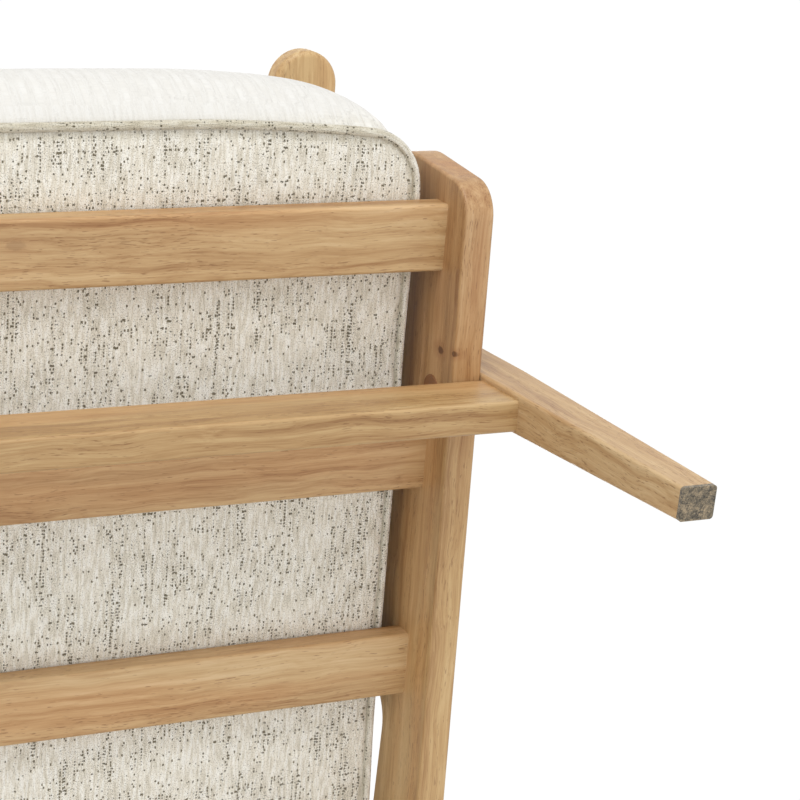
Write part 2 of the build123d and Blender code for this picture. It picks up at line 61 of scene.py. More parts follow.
# %% Camera
picture_right = Vector((0.8862, -0.1052, -0.4512))
picture_down = Vector((-0.0659, 0.9353, -0.3476))
picture_forward = Vector((0.4585, 0.3378, 0.8219))
camera_place = (-0.5888, -0.8331, -1.2384)
lens_mm = 115.99
film_mm = 36

bpy.ops.object.camera_add(location=camera_place)
camera = bpy.context.object
camera.name = "photo_camera"
camera.data.lens = lens_mm
camera.data.sensor_width = film_mm
camera.data.clip_start = 0.05
turn = Matrix((picture_right, -picture_down, -picture_forward)).transposed()
camera.rotation_mode = "QUATERNION"
camera.rotation_quaternion = turn.to_quaternion()
bpy.context.scene.camera = camera
print("camera lens in mm:", round(camera.data.lens, 1))

# %% [markdown]
# ## Small helpers for node materials
# Every finish here is drawn by nodes, so no picture file is needed.
# One helper adds a node, sets its options and joins or fills its inputs.
# A socket is joined to, and anything else is written in as a constant.


# %% Node helpers
def add_node(tree, kind, inputs=(), **options):
    """Adds a node to the tree, with its inputs given as pairs of name and value."""
    made = tree.nodes.new("ShaderNode" + kind)
    for option, value in options.items():
        setattr(made, option, value)
    for name, value in dict(inputs).items():
        if isinstance(value, bpy.types.NodeSocket):
            tree.links.new(value, made.inputs[name])
        else:
            made.inputs[name].default_value = value
    return made


def maths(tree, operation, first, second=0.0, third=0.0):
    """One Math node, and its result."""
    given = {0: first, 1: second, 2: third}
    return add_node(tree, "Math", given, operation=operation).outputs[0]


def stretched(tree, vector, scale):
    """The vector with its parts multiplied, which stretches a pattern the other way."""
    given = {0: vector, 1: scale}
    return add_node(tree, "VectorMath", given, operation="MULTIPLY").outputs[0]


def noise(tree, vector, scale=1.0, detail=2.0, roughness=0.5, distortion=0.0):
    """The grey value of a noise pattern, about 0.5 in the mean."""
    given = {
        "Vector": vector,
        "Scale": scale,
        "Detail": detail,
        "Roughness": roughness,
        "Distortion": distortion,
    }
    return add_node(tree, "TexNoise", given).outputs[0]


def step_between(tree, value, low, high, start=0.0, end=1.0):
    """A smooth step of the value from low to high."""
    given = {"Value": value, "From Min": low, "From Max": high, "To Min": start, "To Max": end}
    made = add_node(tree, "MapRange", given, interpolation_type="SMOOTHSTEP")
    return made.outputs[0]


def mixed(tree, share, first, second, blend="MIX"):
    """Two colours mixed by a share."""
    made = tree.nodes.new("ShaderNodeMix")
    made.data_type = "RGBA"
    made.blend_type = blend
    for socket, value in ((0, share), (6, first), (7, second)):
        if isinstance(value, bpy.types.NodeSocket):
            tree.links.new(value, made.inputs[socket])
        else:
            made.inputs[socket].default_value = value
    return made.outputs[2]


def ramp(tree, share, stops):
    """A colour ramp through pairs of place and colour."""
    made = add_node(tree, "ValToRGB", {0: share})
    band = made.color_ramp
    while len(band.elements) < len(stops):
        band.elements.new(0.5)
    for element, (place, colour) in zip(band.elements, stops):
        element.position = place
        element.color = colour
    return made.outputs[0]


def tone(red, green, blue):
    """A colour as a painter reads it, 0 to 255, turned into linear light."""
    parts = [(part / 255) ** 2.2 for part in (red, green, blue)]
    return (*parts, 1.0)


def finish_of(name, roughness=0.5, **sockets):
    """A new material, its tree and its shader."""
    made = bpy.data.materials.new(name)
    made.use_nodes = True
    shader = made.node_tree.nodes["Principled BSDF"]
    shader.inputs["Roughness"].default_value = roughness
    for socket, value in sockets.items():
        shader.inputs[socket.replace("_", " ")].default_value = value
    return made, made.node_tree, shader


def raised(tree, shader, height, distance, strength=1.0):
    """A bump of so many metres on a shader."""
    given = {"Height": height, "Distance": distance, "Strength": strength}
    made = add_node(tree, "Bump", given)
    tree.links.new(made.outputs[0], shader.inputs["Normal"])


# %% [markdown]
# ## Pale wood
# The frame is a pale, straight-grained hardwood under a thin satin finish.
# Its figure runs along each board, so the pattern is drawn once, in a group,
# with its first axis along the grain, and each board turns it to its own length.
# Broad streaks give the tone, fine ones the fibre, and short dashes the open pores.
# Slow zones along the board are a little redder, as heartwood is near sapwood.

# %% The figure of the wood, as one group
figure = bpy.data.node_groups.new("wood_figure", "ShaderNodeTree")
figure.interface.new_socket("Place", in_out="INPUT", socket_type="NodeSocketVector")
for name, kind in (
    ("Colour", "NodeSocketColor"),
    ("Height", "NodeSocketFloat"),
    ("Roughness", "NodeSocketFloat"),
):
    figure.interface.new_socket(name, in_out="OUTPUT", socket_type=kind)
place = figure.nodes.new("NodeGroupInput").outputs["Place"]
given_back = figure.nodes.new("NodeGroupOutput")

swirl = add_node(
    figure, "TexNoise", {"Vector": stretched(figure, place, (3.5, 7, 7)), "Detail": 1.0}
)
bent = add_node(figure, "VectorMath", {0: swirl.outputs[1], 1: (0.0, 0.008, 0.008), 2: place})
bent.operation = "MULTIPLY_ADD"
place = bent.outputs[0]
broad = noise(figure, stretched(figure, place, (2.0, 24, 24)), detail=2, distortion=0.35)
streaks = noise(figure, stretched(figure, place, (4.0, 170, 170)), detail=4, distortion=0.25)
fibres = noise(figure, stretched(figure, place, (24, 850, 850)), detail=3, roughness=0.65)
pores = noise(figure, stretched(figure, place, (105, 1250, 1250)), detail=1)
clusters = noise(figure, stretched(figure, place, (6, 60, 60)), detail=1)

mean = maths(figure, "MULTIPLY_ADD", streaks, 0.42, maths(figure, "MULTIPLY", broad, 0.30))
mean = maths(figure, "MULTIPLY_ADD", fibres, 0.28, mean)
wood_tones = (
    (0.36, tone(150, 110, 70)),
    (0.45, tone(176, 138, 94)),
    (0.54, tone(192, 157, 112)),
    (0.66, tone(207, 176, 134)),
)
board = ramp(figure, mean, wood_tones)
warm_zones = noise(figure, stretched(figure, place, (1.6, 17, 17)), detail=2, distortion=0.3)
redder = step_between(figure, warm_zones, 0.46, 0.62, 0.0, 0.75)
board = mixed(figure, redder, board, tone(251, 233, 219), "MULTIPLY")
crowded = step_between(figure, clusters, 0.3, 0.7, 0.72, 0.60)
open_pore = step_between(figure, maths(figure, "SUBTRACT", pores, crowded), 0.0, 0.05)
dark = maths(figure, "MULTIPLY", open_pore, 0.55)
board = mixed(figure, dark, board, tone(120, 80, 46))
height = maths(figure, "MULTIPLY_ADD", open_pore, -0.8, maths(figure, "MULTIPLY", fibres, 0.5))
satin = step_between(figure, streaks, 0.3, 0.7, 0.40, 0.52)
for name, socket in (("Colour", board), ("Height", height), ("Roughness", satin)):
    figure.links.new(socket, given_back.inputs[name])
print("nodes in the wood figure:", len(figure.nodes))


# %% [markdown]
# A board's grain leans with the board. A Mapping node turns the object's
# coordinates, so that the figure's first axis lies along the piece.
# The left rail has two small knots on its inner face, and the front slat a faint one,
# so knots are an option. Each has a centre, a size, a reach in sizes, and a strength.
# A knot is a dark heart with a halo, and nothing beyond a few millimetres.


# %% Wood for boards that run in one direction
tint_turns = -0.36
tint_turned = -0.06


def wood(name, along, offset, tint=(255, 255, 255), rear_tint=None, knots=()):
    """Wood with its grain along a direction, tinted, with another tint to the rear."""
    made, tree, shader = finish_of(name, Coat_Weight=0.08, Coat_Roughness=0.35)
    chair_place = add_node(tree, "TexCoord").outputs["Object"]
    lean = Vector(along).to_track_quat("X", "Z").inverted().to_euler()
    given = {"Vector": chair_place, "Rotation": lean, "Location": offset}
    board_place = add_node(tree, "Mapping", given, vector_type="POINT").outputs[0]
    group = add_node(tree, "Group")
    group.node_tree = figure
    tree.links.new(board_place, group.inputs["Place"])
    board_tint = tone(*tint)
    if rear_tint:
        to_rear = add_node(tree, "SeparateXYZ", {0: chair_place}).outputs[1]
        share = step_between(tree, to_rear, tint_turns, tint_turned)
        board_tint = mixed(tree, share, board_tint, tone(*rear_tint))
    colour = mixed(tree, 1.0, group.outputs["Colour"], board_tint, "MULTIPLY")
    for centre, size, reach, strength in knots:
        given = {0: chair_place, 1: centre}
        away = add_node(tree, "VectorMath", given, operation="SUBTRACT").outputs[0]
        away = stretched(tree, away, [1 / part for part in size])
        far = add_node(tree, "VectorMath", {0: away}, operation="LENGTH").outputs["Value"]
        wavy = maths(tree, "MULTIPLY_ADD", noise(tree, chair_place, 420.0), 0.7, far)
        halo = step_between(tree, wavy, 1.0, reach, 0.45 * strength, 0.0)
        heart = step_between(tree, wavy, 0.9, 1.35, 0.85 * strength, 0.0)
        colour = mixed(tree, halo, colour, tone(150, 100, 60))
        colour = mixed(tree, heart, colour, tone(92, 58, 36))
    tree.links.new(colour, shader.inputs["Base Color"])
    tree.links.new(group.outputs["Roughness"], shader.inputs["Roughness"])
    raised(tree, shader, group.outputs["Height"], 0.00014, 0.5)
    return made


def leaning(degrees):
    """The direction of a post that leans to the rear by so many degrees."""
    return (0, math.sin(math.radians(degrees)), math.cos(math.radians(degrees)))


seat_lean = 4.0
back_lean = 20.0
rear_leg_lean = -8.0
front_leg_lean = 4.0
along_rail = (0, math.cos(math.radians(seat_lean)), -math.sin(math.radians(seat_lean)))
rail_knots = (
    ((0.290, -0.2433, 0.2853), (0.0050, 0.0034, 0.0052), 3.2, 1.0),
    ((0.290, -0.2469, 0.2662), (0.0050, 0.0026, 0.0034), 3.0, 1.0),
)
slat_knots = (((-0.0312, -0.3310, 0.2976), (0.0085, 0.0042, 0.0040), 3.6, 0.26),)
rail_wood = wood("rail_wood", along_rail, (0.3, 0.02, 0.4), (246, 240, 236))
# The left rail is darker towards its front than towards its rear.
left_rail_wood = wood(
    "left_rail_wood", along_rail, (0.9, 0.11, 0.2), (237, 230, 228), (257, 262, 260), rail_knots
)
arm_wood = wood("arm_wood", along_rail, (1.7, 0.3, 0.1), (267, 276, 277))
slat_wood = wood("slat_wood", (1, 0, 0), (0.2, 0.7, 0.5), (254, 259, 263), knots=slat_knots)
stretcher_wood = wood("stretcher_wood", (1, 0, 0), (2.1, 0.2, 0.9), (245, 249, 246))
front_leg_wood = wood(
    "front_leg_wood", leaning(front_leg_lean), (0.4, 1.2, 0.6), (258, 267, 278)
)
rear_leg_wood = wood("rear_leg_wood", leaning(rear_leg_lean), (0.8, 0.5, 1.6), (256, 262, 268))
stile_wood = wood("stile_wood", leaning(back_lean), (1.1, 0.9, 0.7))
dowel_beech = wood("dowel_beech", (1, 0, 0), (0.5, 0.5, 0.5), (242, 228, 214))
print("woods made:", sum("wood" in made.name for made in bpy.data.materials))

# %% [markdown]
# ## Felt, plastic, tape and metal
# The feet stand on pads of grey recycled felt, mottled with dark and pale fibres.
# The bolt heads are hidden by brown plastic caps with a fine moulded grain.
# Screws and sleeves are zinc plated, and the hinges are black powder-coated steel.

# %% Felt
felt, tree, shader = finish_of("recycled_felt", 0.95, Sheen_Weight=0.3, Sheen_Roughness=0.6)
spot = add_node(tree, "TexCoord").outputs["Object"]
patches = noise(tree, spot, 190.0, 3, 0.65, 0.8)
hairs = noise(tree, spot, 1000.0, 2, 0.7, 1.2)
felt_tones = (
    (0.40, tone(54, 48, 38)),
    (0.47, tone(99, 89, 70)),
    (0.54, tone(131, 116, 92)),
    (0.62, tone(170, 149, 118)),
)
blend_of_fibres = maths(tree, "MULTIPLY_ADD", hairs, 0.5, maths(tree, "MULTIPLY", patches, 0.5))
tree.links.new(ramp(tree, blend_of_fibres, felt_tones), shader.inputs["Base Color"])
raised(tree, shader, blend_of_fibres, 0.0012)
print("felt nodes:", len(tree.nodes))


# %% Plain finishes with a fine grain
def grained(name, dark, light, scale, roughness, depth, **sockets):
    """A finish whose tone, gloss and surface vary finely."""
    made, tree, shader = finish_of(name, roughness, **sockets)
    spot = add_node(tree, "TexCoord").outputs["Object"]
    grain = noise(tree, spot, scale, 3, 0.6)
    cloud = noise(tree, spot, scale * 0.06, 2)
    share = step_between(tree, maths(tree, "ADD", grain, cloud), 0.7, 1.3)
    tree.links.new(mixed(tree, share, dark, light), shader.inputs["Base Color"])
    gloss = step_between(tree, cloud, 0.3, 0.7, roughness - 0.08, roughness + 0.08)
    tree.links.new(gloss, shader.inputs["Roughness"])
    raised(tree, shader, grain, depth)
    return made


cap_plastic = grained(
    "cap_plastic", tone(124, 82, 50), tone(142, 98, 62), 2400.0, 0.5, 0.00008
)
zinc = grained(
    "zinc_plate", tone(168, 170, 166), tone(205, 203, 190), 900.0, 0.32, 0.00004, Metallic=1.0
)
powder_coat = grained(
    "powder_coat", tone(26, 26, 27), tone(40, 40, 42), 1500.0, 0.55, 0.0001
)
loop_tape = grained(
    "loop_tape", tone(196, 190, 176), tone(224, 219, 206), 2600.0, 0.9, 0.0006
)
print("finishes made:", len(bpy.data.materials))

# %% [markdown]
# ## Flecked tweed
# The cloth is an off-white chenille. Its cords run from the front of a panel
# to the back, with soft slubs, and dark flecks line up in some of the cords.
# The pattern is drawn on the piece's own UV map, which is laid out in metres,
# so one unit of the map is one metre of cloth, and the cords keep their width.
# Two attributes of the mesh also speak: one for the pale front of the seat cushion, a painted
# highlight where the flecks hardly show, and "shade" for painted shade in the grooves of the
# seams.

# %% Tweed
cord_width = 0.0012
fleck_run = 0.0024
tweed, tree, shader = finish_of(
    "flecked_tweed", 0.92, Sheen_Weight=0.25, Sheen_Roughness=0.5, Specular_IOR_Level=0.2
)
cloth = add_node(tree, "UVMap", uv_map="weave").outputs[0]
wander = noise(tree, stretched(tree, cloth, (30, 22, 0)), detail=2)
parts = add_node(tree, "SeparateXYZ", {0: cloth})
across = maths(tree, "MULTIPLY_ADD", wander, 0.004, parts.outputs[0])
ragged = noise(tree, stretched(tree, cloth, (900, 900, 0)), detail=2)
across = maths(tree, "MULTIPLY_ADD", ragged, 0.0011, across)
cords = maths(tree, "DIVIDE", across, cord_width)
cord = maths(tree, "FLOOR", cords)
in_cord = maths(tree, "SUBTRACT", maths(tree, "SUBTRACT", cords, cord), 0.5)


def chance(first, second):
    """A random grey value for each whole pair of numbers."""
    pair = add_node(tree, "CombineXYZ", {0: first, 1: second}).outputs[0]
    return add_node(tree, "TexWhiteNoise", {"Vector": pair}, noise_dimensions="2D").outputs[0]


shift = maths(tree, "MULTIPLY", chance(cord, 7.0), 0.4)
frayed = noise(tree, stretched(tree, cloth, (700, 1100, 3)), detail=2)
down = maths(tree, "MULTIPLY_ADD", frayed, 0.0014, parts.outputs[1])
runs = maths(tree, "ADD", maths(tree, "DIVIDE", down, fleck_run), shift)
run = maths(tree, "FLOOR", runs)
in_run = maths(tree, "SUBTRACT", maths(tree, "SUBTRACT", runs, run), 0.5)
print("cords to the metre of cloth:", round(1 / cord_width))

# %% [markdown]
# A fleck is a small soft oval in the middle of its cell. Whether a cell has one
# is a throw of dice, loaded by its cord and by broad clouds over the cloth,
# because on the real cloth the flecks crowd in some cords and leave others bare.

# %% Flecks and slubs
dark_cord = step_between(tree, chance(cord, 3.0), 0.62, 0.90)
dark_row = maths(tree, "GREATER_THAN", chance(run, 5.0), 0.93)
clouds = step_between(tree, noise(tree, stretched(tree, cloth, (38, 26, 0)), detail=2), 0.35, 0.65)
odds = maths(tree, "MULTIPLY_ADD", maths(tree, "MULTIPLY", dark_cord, clouds), 0.74, 0.045)
odds = maths(tree, "MULTIPLY_ADD", maths(tree, "MULTIPLY", dark_row, clouds), 0.22, odds)
dice = chance(cord, run)
thrown = maths(tree, "LESS_THAN", dice, odds)
size = step_between(tree, chance(run, cord), 0.0, 1.0, 0.22, 0.74)
wide = maths(tree, "POWER", in_cord, 2.0)
long = maths(tree, "POWER", maths(tree, "MULTIPLY", in_run, 1.7), 2.0)
far = maths(tree, "POWER", maths(tree, "ADD", wide, long), 0.5)
edge = maths(tree, "SUBTRACT", size, far)
fleck = maths(tree, "MULTIPLY", step_between(tree, edge, -0.04, 0.10), thrown)
# Painted highlight on the seat cushion's front band: no flecks or specks, a flat pale tone, less
# relief.
painted_highlight = add_node(tree, "Attribute", attribute_name="painted_highlight").outputs["Fac"]
plain = maths(tree, "SUBTRACT", 1.0, painted_highlight)
fleck = maths(tree, "MULTIPLY", fleck, plain)

slubs = noise(tree, stretched(tree, cloth, (420, 60, 0)), detail=2, roughness=0.55)
threads = noise(tree, stretched(tree, cloth, (1300, 800, 0)), detail=2)
rows = noise(tree, stretched(tree, cloth, (60, 900, 0)), detail=1)
share = maths(tree, "MULTIPLY_ADD", slubs, 0.7, maths(tree, "MULTIPLY", threads, 0.3))
cloth_tones = (
    (0.36, tone(211, 204, 187)),
    (0.48, tone(234, 228, 213)),
    (0.58, tone(247, 244, 234)),
)
ground = ramp(tree, share, cloth_tones)
fleck_tone = mixed(tree, chance(run, cord), tone(32, 30, 25), tone(126, 118, 97))
specks = noise(tree, stretched(tree, cloth, (1700, 1250, 0)), detail=1)
specked = step_between(tree, maths(tree, "MULTIPLY_ADD", clouds, 0.05, specks), 0.59, 0.67)
specked = maths(tree, "MULTIPLY", maths(tree, "MULTIPLY", specked, plain), 0.75)
ground = mixed(tree, specked, ground, tone(126, 118, 98))
cloth_colour = mixed(tree, fleck, ground, fleck_tone)
# The flat pale tone of the painted highlight.
pale_cloth = tone(206, 205, 202)
cloth_colour = mixed(tree, painted_highlight, cloth_colour, pale_cloth)
# Painted shade: darker in the grooves along the seams, on the welts' inner sides and on the front
# of the lower welt.
painted_shade = add_node(tree, "Attribute", attribute_name="shade").outputs["Fac"]
painted_shade_tone = tone(219, 216, 207)
cloth_colour = mixed(tree, painted_shade, cloth_colour, painted_shade_tone, "MULTIPLY")
tree.links.new(cloth_colour, shader.inputs["Base Color"])

round_cord = maths(tree, "MULTIPLY_ADD", maths(tree, "MULTIPLY", in_cord, in_cord), -1.6, 0.4)
relief = maths(tree, "MULTIPLY_ADD", slubs, 1.2, maths(tree, "MULTIPLY", round_cord, 0.6))
relief = maths(tree, "MULTIPLY_ADD", threads, 0.55, relief)
relief = maths(tree, "MULTIPLY_ADD", rows, 0.25, relief)
relief = maths(tree, "MULTIPLY_ADD", fleck, -0.5, relief)
relief = maths(tree, "MULTIPLY", relief, maths(tree, "MULTIPLY_ADD", plain, 0.8, 0.2))
raised(tree, shader, relief, 0.0011, 0.9)
print("tweed nodes:", len(tree.nodes))

# %% [markdown]
# ## Finishes on the frame
# Each piece of the frame already has one material slot from the workshop model.
# The shape is right as it is, so only the material in the slot is changed.
# The first word that is in a piece's name decides, so the longer words come first.
# The two plain cushions get none, because sewn ones take their place further down.

# %% Give each piece its finish
finish_by_word = (
    ("left_seat_rail", left_rail_wood),
    ("seat_rail", rail_wood),
    ("seat_slat", slat_wood),
    ("back_slat", slat_wood),
    ("crest_rail", stretcher_wood),
    ("front_leg", front_leg_wood),
    ("rear_leg", rear_leg_wood),
    ("stretcher_dowels", dowel_beech),
    ("arm_dowels", dowel_beech),
    ("stretcher", stretcher_wood),
    ("armrest", arm_wood),
    ("back_stile", stile_wood),
    ("felt_pads", felt),
    ("bolt_caps", cap_plastic),
    ("leg_bolts", zinc),
    ("leg_inserts", zinc),
    ("screws", zinc),
    ("hinge_pins", zinc),
    ("hinge_base", powder_coat),
    ("hinge_strap", powder_coat),
    ("tapes", loop_tape),
)
for name, piece in nodes.items():
    made = next((made for word, made in finish_by_word if word in name), None)
    if made:
        for held in piece.material_slots:
            held.material = made
    else:
        print("dressed further down:", name)

# %% [markdown]
# ## The cushions
# Each cushion is a boxed form: a lower panel, an upper panel and a band between,
# with a welt of the same cloth sewn into both seams.
# It is easiest to think of a cushion lying flat, so each one gets a frame of its own:
# x across the chair, y along the cushion, and z up from its lower panel.
# A matrix turns such a place into a place of the chair, and its inverse turns it back.
# The seat's own origin is at the front of the rails, and the hinge is a known way from it.

# %% Where the cushions lie
hinge_in_seat = Vector((0, 0.606, 0.058))
deck_rise = 0.0264
slats_rise = 0.0198
slats_ahead_of_hinge = 0.0228
deck_lean = 2.7
pivot = Vector(frame["joints"][0]["pos_m"])
seat_turn = Matrix.Rotation(math.radians(-seat_lean), 3, "X")
seat_origin = pivot - seat_turn @ hinge_in_seat


def cushion_frame(origin, along, up):
    """The matrix from a cushion's own places to the chair's."""
    across = Vector((1, 0, 0))
    turned = Matrix((across, along, up)).transposed().to_4x4()
    return Matrix.Translation(origin) @ turned


def shares(degrees):
    """The cosine and the sine of an angle in degrees."""
    return math.cos(math.radians(degrees)), math.sin(math.radians(degrees))


cos_seat, sin_seat = shares(seat_lean)
cos_deck, sin_deck = shares(deck_lean)
cos_back, sin_back = shares(back_lean)
deck_origin = seat_origin + deck_rise * Vector((0, sin_seat, cos_seat))
deck_up = Vector((0, sin_deck, cos_deck))
seat_frame = cushion_frame(
    deck_origin + slats_rise * deck_up,
    Vector((0, cos_deck, -sin_deck)),
    deck_up,
)
back_frame = cushion_frame(
    pivot - slats_ahead_of_hinge * Vector((0, cos_back, -sin_back)),
    Vector((0, sin_back, cos_back)),
    Vector((0, -cos_back, sin_back)),
)
print("seat cushion starts at", [round(part, 4) for part in seat_frame.translation])

# %% [markdown]
# ### Even mesh and stuffing
# The workshop solid has long thin triangles, on which cloth can't move.
# A voxel remesh gives squares of one size, and the Cloth modifier with pressure
# and no gravity blows them up. The seams are pinned, as their stitches hold them.
# Before that the solid is drawn in a little, to leave the pressure some way to go.
# After it no point may have moved further than the cap, or out of the room it has.


# %% Stuff a cushion
def chosen(piece):
    """Makes a piece the only one chosen, and the active one."""
    bpy.ops.object.select_all(action="DESELECT")
    piece.select_set(True)
    bpy.context.view_layer.objects.active = piece


def places_in(piece, laid):
    """The piece's points in a cushion's own frame."""
    points = np.empty(len(piece.data.vertices) * 3)
    piece.data.vertices.foreach_get("co", points)
    turn = np.array(laid.inverted())
    return points.reshape(-1, 3) @ turn[:3, :3].T + turn[:3, 3]


def put_back(piece, laid, points):
    """Writes points of a cushion's own frame into the piece."""
    turn = np.array(laid)
    moved = points @ turn[:3, :3].T + turn[:3, 3]
    piece.data.vertices.foreach_set("co", moved.ravel())
    piece.data.update()


def copied(node, name):
    """A new piece with the shape of a piece of the frame, its points merged."""
    piece = bpy.data.objects.new(name, nodes[node].data.copy())
    piece.data.name = name
    bpy.context.scene.collection.objects.link(piece)
    chosen(piece)
    bpy.ops.object.mode_set(mode="EDIT")
    bpy.ops.mesh.select_all(action="SELECT")
    bpy.ops.mesh.remove_doubles(threshold=0.00002)
    bpy.ops.object.mode_set(mode="OBJECT")
    return piece


square = 0.0065
draw_in = 0.002
cap = 0.024
pressure = 4
moments = 20
stitch_reach = 0.007
stitch_rim = 0.03
stitch_hold = 0.9


def stuffed(node, name, laid, thickness, room, shape=None):
    """A padded piece blown up from a workshop solid."""
    piece = copied(node, name)
    points = places_in(piece, laid)
    low, high = points.min(axis=0), points.max(axis=0)
    middle, half = (low + high) / 2, (high - low) / 2
    drawn = middle + (points - middle) * (half - draw_in) / half
    drawn[:, 2] = points[:, 2] - draw_in * (points[:, 2] > 0.2 * thickness)
    put_back(piece, laid, drawn)
    remesh = piece.modifiers.new("even_squares", "REMESH")
    remesh.mode = "VOXEL"
    remesh.voxel_size = square
    bpy.ops.object.modifier_apply(modifier=remesh.name)
    points = places_in(piece, laid)
    if shape:
        points = shape(points)
        put_back(piece, laid, points)
    seams = piece.vertex_groups.new(name="seams")
    to_side = half[0] - np.abs(points[:, 0])
    to_end = np.minimum(points[:, 1] - low[1], high[1] - points[:, 1])
    rim = np.minimum(to_side, to_end)
    near = np.minimum(np.abs(points[:, 2]), np.abs(points[:, 2] - thickness))
    held = np.clip(1.2 - near / stitch_reach, 0, 1) * (rim < stitch_rim)
    for index in np.nonzero(held)[0]:
        seams.add([int(index)], float(held[index]) * stitch_hold, "REPLACE")
    cloth = piece.modifiers.new("stuffing", "CLOTH")
    cloth.settings.use_pressure = True
    cloth.settings.uniform_pressure_force = pressure
    cloth.settings.effector_weights.gravity = 0
    cloth.settings.vertex_group_mass = seams.name
    cloth.settings.pin_stiffness = 1.0
    cloth.settings.quality = 4
    cloth.point_cache.frame_end = moments
    for moment in range(1, moments + 1):
        bpy.context.scene.frame_set(moment)
    bpy.ops.object.modifier_apply(modifier=cloth.name)
    bpy.context.scene.frame_set(1)
    piece.vertex_groups.clear()
    blown = places_in(piece, laid)
    moved = blown - points
    length = np.linalg.norm(moved, axis=1, keepdims=True)
    print(name, "moved at most", round(float(length.max()) * 1000, 1), "mm")
    points = points + moved * np.minimum(1, cap / np.maximum(length, 1e-9))
    put_back(piece, laid, room(points))
    smooth = piece.modifiers.new("finer", "SUBSURF")
    smooth.levels = smooth.render_levels = 1
    bpy.ops.object.modifier_apply(modifier=smooth.name)
    bpy.ops.object.shade_smooth()
    print(name, "has", len(piece.data.polygons), "faces")
    return piece


# %% [markdown]
# ### The form of the seat cushion
# Before it is stuffed, the seat cushion gets the forms that the picture shows.
# Its sides swell a little behind the front corners. Its front edge is bowed, so it
# falls back towards the corners, and its front band is rolled: full, but for the corners.

# %% Full sides, bowed edge and rolled front
seat_thickness = 0.108
front_half = 0.264
front_bulge = 0.0275
corner_tuck = 0.018
side_swell = 0.0125
turns_at = 0.05
swell_over = 0.20
front_over = 0.08
bow_starts = 0.10
bow_over = 0.14
bow_depth = 0.0085


def eased(share):
    """A share held between 0 and 1, with a soft start and a soft end."""
    share = np.clip(share, 0, 1)
    return share * share * (3 - 2 * share)


def full_sides(points):
    """Lets the sides of the seat cushion swell behind its front corners."""
    wider = points.copy()
    wider[:, 0] *= 1 + side_swell * eased((points[:, 1] - turns_at) / swell_over)
    return wider


def near_front(points):
    """1 at the front edge of the seat cushion, and 0 from where its sides begin."""
    return eased((turns_at - points[:, 1]) / front_over)


def bowed_front(points):
    """Lets the front edge of the seat cushion fall back towards its corners."""
    outer = np.clip((np.abs(points[:, 0]) - bow_starts) / bow_over, 0, 1) ** 1.5
    bowed = points.copy()
    bowed[:, 1] += bow_depth * near_front(points) * outer
    return bowed


def rolled_front(points):
    """Gives the seat cushion full sides, a bowed edge and a rounded front band."""
    shaped = bowed_front(full_sides(points))
    up = np.clip(points[:, 2] / seat_thickness, 0, 1)
    full = 1 - np.abs(2 * up - 1) ** 3
    plain = 4 * up * (1 - up)
    wide = 1 - np.clip(np.abs(points[:, 0]) / front_half, 0, 1) ** 10
    roll = front_bulge * full * wide - corner_tuck * plain
    shaped[:, 1] -= near_front(points) * roll
    return shaped


# %% [markdown]
# ### Room for the cushions
# The seat cushion lies on the slats and sags a little between them.
# It may not reach into the rails at its sides, the slats under it or the back cushion.
# The limits are plain: a point that went too far is brought back to the limit.

# %% Limits of the two cushions
clearance = 0.0004
seat_half_room = 0.2875
seat_ends = (-0.068, 0.586)
seat_top = 0.138
first_slat = 0.0495
slat_spacing = 0.165
sag = 0.0035
sag_edge = 0.24
sag_fade = 0.08
back_thickness = 0.104
back_half_room = 0.279
back_ends = (0.098, 0.566)
back_top = 0.131


def seat_room(points):
    """Keeps the seat cushion on its slats and between its rails."""
    kept = points.copy()
    kept[:, 0] = np.clip(kept[:, 0], -seat_half_room, seat_half_room)
    along = (kept[:, 1] - first_slat) / slat_spacing
    between = np.sin(np.pi * along) ** 2 * (along > 0) * (along < 3)
    away = np.clip((sag_edge - np.abs(kept[:, 0])) / sag_fade, 0, 1)
    kept[:, 2] = np.maximum(kept[:, 2], clearance - sag * between * away)
    kept[:, 1] = np.clip(kept[:, 1], *seat_ends)
    kept[:, 2] = np.minimum(kept[:, 2], seat_top)
    return kept


def back_room(points):
    """Keeps the back cushion in front of its slats and over the seat cushion."""
    kept = points.copy()
    kept[:, 0] = np.clip(kept[:, 0], -back_half_room, back_half_room)
    kept[:, 2] = np.clip(kept[:, 2], clearance, back_top)
    kept[:, 1] = np.clip(kept[:, 1], *back_ends)
    return kept


seat_cover = stuffed(
    "seat_cushion", "seat_cushion_cover", seat_frame, seat_thickness, seat_room, rolled_front
)
back_cover = stuffed(
    "back_cushion", "back_cushion_cover", back_frame, back_thickness, back_room
)

# %% [markdown]
# ### Seam lines
# The welts follow the two seams of each cushion. A seam is a rounded rectangle,
# walked in even steps, so its length is also the length of the band sewn to it.


